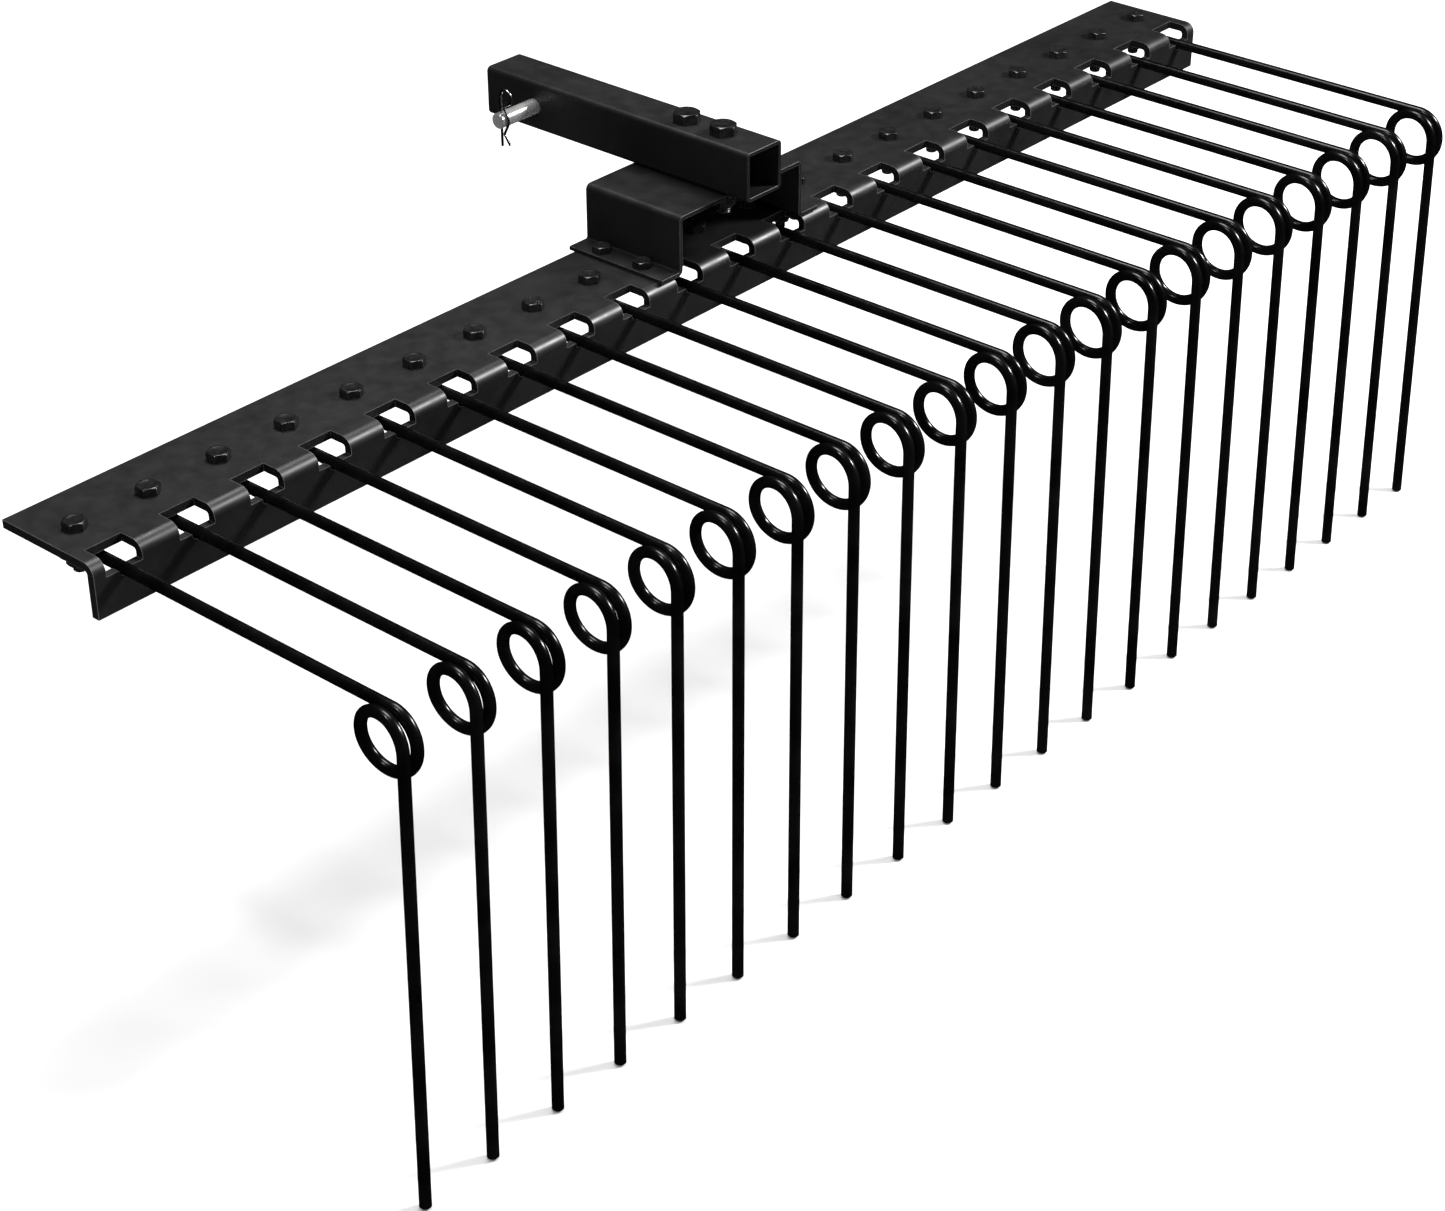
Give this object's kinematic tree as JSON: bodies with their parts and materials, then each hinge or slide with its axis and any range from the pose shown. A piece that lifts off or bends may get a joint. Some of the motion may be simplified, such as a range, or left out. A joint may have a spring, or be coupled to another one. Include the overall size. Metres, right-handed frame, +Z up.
{
  "type": "lawn dethatcher",
  "caption": "Receiver-mounted spring-tine lawn rake: bent steel bar with slotted lip, coil-spring tines bolted underneath, hat bracket, square shank, hitch pin and clip.",
  "frame": {"origin": "centre of the hitch-pin hole, on the axis of the square shank", "axes": "+X along the rake bar, +Y along the shank towards the towing vehicle, +Z up"},
  "size_m": [1.6168, 0.6892, 0.556],
  "materials": {
    "powder_coat": "satin black powder coat",
    "tine_enamel": "gloss black enamel",
    "black_fastener": "glossy black oxide",
    "zinc": "bright zinc plate",
    "spring_clip": "bright spring wire"
  },
  "bodies": {
    "rake_frame": {"main_bar": "powder_coat", "hitch_bracket": "powder_coat", "bracket_bolts": "black_fastener", "bracket_washers": "black_fastener", "bracket_nuts": "black_fastener", "hitch_shank": "powder_coat", "shank_bolts": "black_fastener", "shank_washers": "black_fastener", "shank_nuts": "black_fastener", "tine_bolts": "black_fastener", "tine_spacers": "black_fastener", "tine_washers": "black_fastener", "tine_nuts": "black_fastener", "tine_arm_01": "tine_enamel", "tine_arm_02": "tine_enamel", "tine_arm_03": "tine_enamel", "tine_arm_04": "tine_enamel", "tine_arm_05": "tine_enamel", "tine_arm_06": "tine_enamel", "tine_arm_07": "tine_enamel", "tine_arm_08": "tine_enamel", "tine_arm_09": "tine_enamel", "tine_arm_10": "tine_enamel", "tine_arm_11": "tine_enamel", "tine_arm_12": "tine_enamel", "tine_arm_13": "tine_enamel", "tine_arm_14": "tine_enamel", "tine_arm_15": "tine_enamel", "tine_arm_16": "tine_enamel", "tine_arm_17": "tine_enamel", "tine_arm_18": "tine_enamel", "tine_arm_19": "tine_enamel", "tine_arm_20": "tine_enamel", "tine_arm_21": "tine_enamel"},
    "hitch_pin": {"hitch_pin": "zinc"},
    "hitch_clip": {"hitch_clip": "spring_clip"},
    "tine_leg_01": {"tine_leg_01": "tine_enamel"},
    "tine_leg_02": {"tine_leg_02": "tine_enamel"},
    "tine_leg_03": {"tine_leg_03": "tine_enamel"},
    "tine_leg_04": {"tine_leg_04": "tine_enamel"},
    "tine_leg_05": {"tine_leg_05": "tine_enamel"},
    "tine_leg_06": {"tine_leg_06": "tine_enamel"},
    "tine_leg_07": {"tine_leg_07": "tine_enamel"},
    "tine_leg_08": {"tine_leg_08": "tine_enamel"},
    "tine_leg_09": {"tine_leg_09": "tine_enamel"},
    "tine_leg_10": {"tine_leg_10": "tine_enamel"},
    "tine_leg_11": {"tine_leg_11": "tine_enamel"},
    "tine_leg_12": {"tine_leg_12": "tine_enamel"},
    "tine_leg_13": {"tine_leg_13": "tine_enamel"},
    "tine_leg_14": {"tine_leg_14": "tine_enamel"},
    "tine_leg_15": {"tine_leg_15": "tine_enamel"},
    "tine_leg_16": {"tine_leg_16": "tine_enamel"},
    "tine_leg_17": {"tine_leg_17": "tine_enamel"},
    "tine_leg_18": {"tine_leg_18": "tine_enamel"},
    "tine_leg_19": {"tine_leg_19": "tine_enamel"},
    "tine_leg_20": {"tine_leg_20": "tine_enamel"},
    "tine_leg_21": {"tine_leg_21": "tine_enamel"}
  },
  "joints": [
    {"name": "pin_slide", "type": "slide", "parent": "rake_frame", "child": "hitch_pin", "axis": [1, 0, 0], "range_m": [-0.004, 0.043]},
    {"name": "clip_pull", "type": "slide", "parent": "hitch_pin", "child": "hitch_clip", "axis": [0, 0, 1], "range_m": [0, 0.07], "deforming": ["hitch_clip"]},
    {"name": "tine_flex_01", "type": "hinge", "parent": "rake_frame", "child": "tine_leg_01", "pos_m": [-0.762, -0.5575, -0.12725], "axis": [-1, 0, 0], "range_deg": [0, 15], "stiffness_Nm_per_rad": 580},
    {"name": "tine_flex_02", "type": "hinge", "parent": "rake_frame", "child": "tine_leg_02", "pos_m": [-0.6858, -0.5575, -0.12725], "axis": [-1, 0, 0], "range_deg": [0, 15], "stiffness_Nm_per_rad": 580},
    {"name": "tine_flex_03", "type": "hinge", "parent": "rake_frame", "child": "tine_leg_03", "pos_m": [-0.6096, -0.5575, -0.12725], "axis": [-1, 0, 0], "range_deg": [0, 15], "stiffness_Nm_per_rad": 580},
    {"name": "tine_flex_04", "type": "hinge", "parent": "rake_frame", "child": "tine_leg_04", "pos_m": [-0.5334, -0.5575, -0.12725], "axis": [-1, 0, 0], "range_deg": [0, 15], "stiffness_Nm_per_rad": 580},
    {"name": "tine_flex_05", "type": "hinge", "parent": "rake_frame", "child": "tine_leg_05", "pos_m": [-0.4572, -0.5575, -0.12725], "axis": [-1, 0, 0], "range_deg": [0, 15], "stiffness_Nm_per_rad": 580},
    {"name": "tine_flex_06", "type": "hinge", "parent": "rake_frame", "child": "tine_leg_06", "pos_m": [-0.381, -0.5575, -0.12725], "axis": [-1, 0, 0], "range_deg": [0, 15], "stiffness_Nm_per_rad": 580},
    {"name": "tine_flex_07", "type": "hinge", "parent": "rake_frame", "child": "tine_leg_07", "pos_m": [-0.3048, -0.5575, -0.12725], "axis": [-1, 0, 0], "range_deg": [0, 15], "stiffness_Nm_per_rad": 580},
    {"name": "tine_flex_08", "type": "hinge", "parent": "rake_frame", "child": "tine_leg_08", "pos_m": [-0.2286, -0.5575, -0.12725], "axis": [-1, 0, 0], "range_deg": [0, 15], "stiffness_Nm_per_rad": 580},
    {"name": "tine_flex_09", "type": "hinge", "parent": "rake_frame", "child": "tine_leg_09", "pos_m": [-0.1524, -0.5575, -0.12725], "axis": [-1, 0, 0], "range_deg": [0, 15], "stiffness_Nm_per_rad": 580},
    {"name": "tine_flex_10", "type": "hinge", "parent": "rake_frame", "child": "tine_leg_10", "pos_m": [-0.0762, -0.5575, -0.12725], "axis": [-1, 0, 0], "range_deg": [0, 15], "stiffness_Nm_per_rad": 580},
    {"name": "tine_flex_11", "type": "hinge", "parent": "rake_frame", "child": "tine_leg_11", "pos_m": [0, -0.5575, -0.12725], "axis": [-1, 0, 0], "range_deg": [0, 15], "stiffness_Nm_per_rad": 580},
    {"name": "tine_flex_12", "type": "hinge", "parent": "rake_frame", "child": "tine_leg_12", "pos_m": [0.0762, -0.5575, -0.12725], "axis": [-1, 0, 0], "range_deg": [0, 15], "stiffness_Nm_per_rad": 580},
    {"name": "tine_flex_13", "type": "hinge", "parent": "rake_frame", "child": "tine_leg_13", "pos_m": [0.1524, -0.5575, -0.12725], "axis": [-1, 0, 0], "range_deg": [0, 15], "stiffness_Nm_per_rad": 580},
    {"name": "tine_flex_14", "type": "hinge", "parent": "rake_frame", "child": "tine_leg_14", "pos_m": [0.2286, -0.5575, -0.12725], "axis": [-1, 0, 0], "range_deg": [0, 15], "stiffness_Nm_per_rad": 580},
    {"name": "tine_flex_15", "type": "hinge", "parent": "rake_frame", "child": "tine_leg_15", "pos_m": [0.3048, -0.5575, -0.12725], "axis": [-1, 0, 0], "range_deg": [0, 15], "stiffness_Nm_per_rad": 580},
    {"name": "tine_flex_16", "type": "hinge", "parent": "rake_frame", "child": "tine_leg_16", "pos_m": [0.381, -0.5575, -0.12725], "axis": [-1, 0, 0], "range_deg": [0, 15], "stiffness_Nm_per_rad": 580},
    {"name": "tine_flex_17", "type": "hinge", "parent": "rake_frame", "child": "tine_leg_17", "pos_m": [0.4572, -0.5575, -0.12725], "axis": [-1, 0, 0], "range_deg": [0, 15], "stiffness_Nm_per_rad": 580},
    {"name": "tine_flex_18", "type": "hinge", "parent": "rake_frame", "child": "tine_leg_18", "pos_m": [0.5334, -0.5575, -0.12725], "axis": [-1, 0, 0], "range_deg": [0, 15], "stiffness_Nm_per_rad": 580},
    {"name": "tine_flex_19", "type": "hinge", "parent": "rake_frame", "child": "tine_leg_19", "pos_m": [0.6096, -0.5575, -0.12725], "axis": [-1, 0, 0], "range_deg": [0, 15], "stiffness_Nm_per_rad": 580},
    {"name": "tine_flex_20", "type": "hinge", "parent": "rake_frame", "child": "tine_leg_20", "pos_m": [0.6858, -0.5575, -0.12725], "axis": [-1, 0, 0], "range_deg": [0, 15], "stiffness_Nm_per_rad": 580},
    {"name": "tine_flex_21", "type": "hinge", "parent": "rake_frame", "child": "tine_leg_21", "pos_m": [0.762, -0.5575, -0.12725], "axis": [-1, 0, 0], "range_deg": [0, 15], "stiffness_Nm_per_rad": 580}
  ]
}
